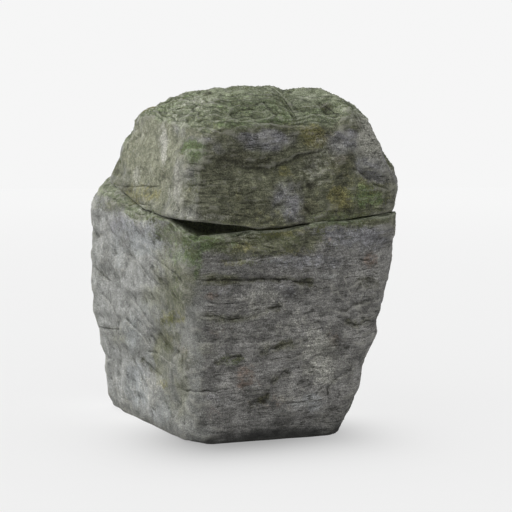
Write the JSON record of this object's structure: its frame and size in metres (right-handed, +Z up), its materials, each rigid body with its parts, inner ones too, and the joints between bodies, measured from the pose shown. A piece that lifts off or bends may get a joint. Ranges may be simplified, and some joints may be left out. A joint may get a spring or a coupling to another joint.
{
  "type": "mossy rock",
  "caption": "Free-standing upright block of bedded stone with an open bedding joint, an overhung corner and a flat foot; weathered and overgrown with moss.",
  "frame": {"origin": "centre of the bounding box, on the flat foot at z = 0", "axes": "+Z up, the way the stone stands; -Y out of the wide dark face, -X out of the narrow pale face with the worn shoulder"},
  "size_m": [0.833, 0.7396, 0.9989],
  "materials": {
    "stone": "rough weathered sandstone, grey with green algae and moss"
  },
  "bodies": {
    "root": {"stone": "stone"}
  },
  "joints": []
}
